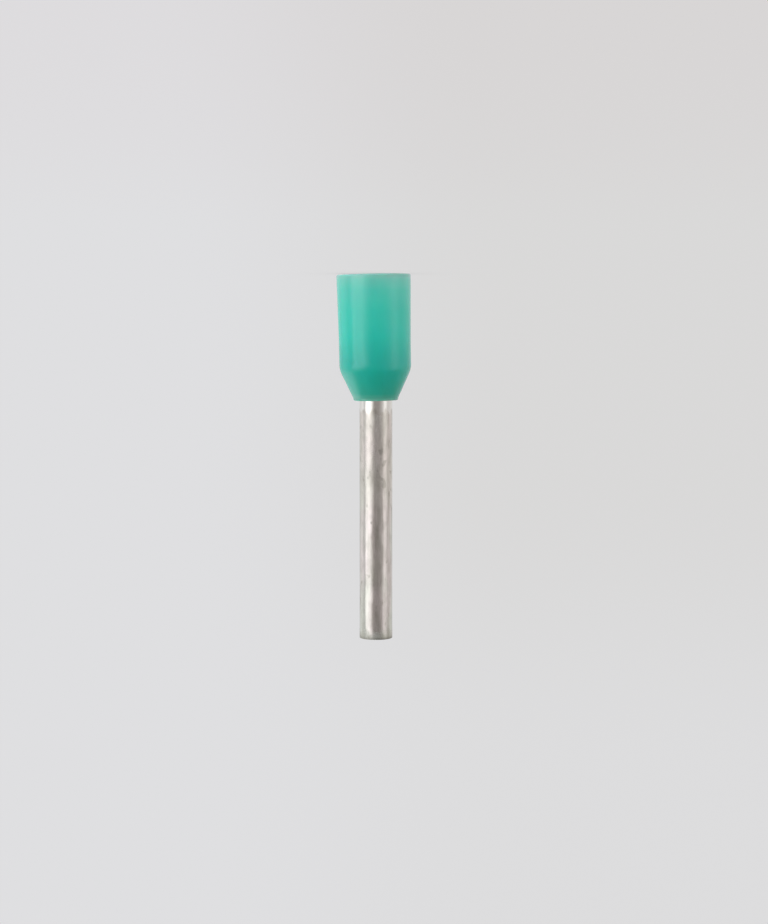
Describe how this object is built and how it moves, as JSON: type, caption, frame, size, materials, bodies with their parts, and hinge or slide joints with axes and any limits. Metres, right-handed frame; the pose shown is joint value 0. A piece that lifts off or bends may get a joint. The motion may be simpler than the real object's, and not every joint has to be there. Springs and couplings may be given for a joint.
{
  "type": "wire ferrule",
  "caption": "Insulated wire ferrule: a slim tin-plated tube with a flared end held in a turquoise plastic collar, which sleeves the bared end of a stranded wire.",
  "frame": {"origin": "centre of the collar's mouth, on the surface that the ferrule stands on", "axes": "+Z along the axis from the collar's mouth to the tip of the crimp tube; X and Y are any two directions across it"},
  "size_m": [0.0024, 0.0024, 0.0122],
  "materials": {
    "collar_plastic": "gloss",
    "tinned_copper": "satin"
  },
  "bodies": {
    "root": {"insulating_collar": "collar_plastic", "crimp_tube": "tinned_copper"}
  },
  "joints": []
}
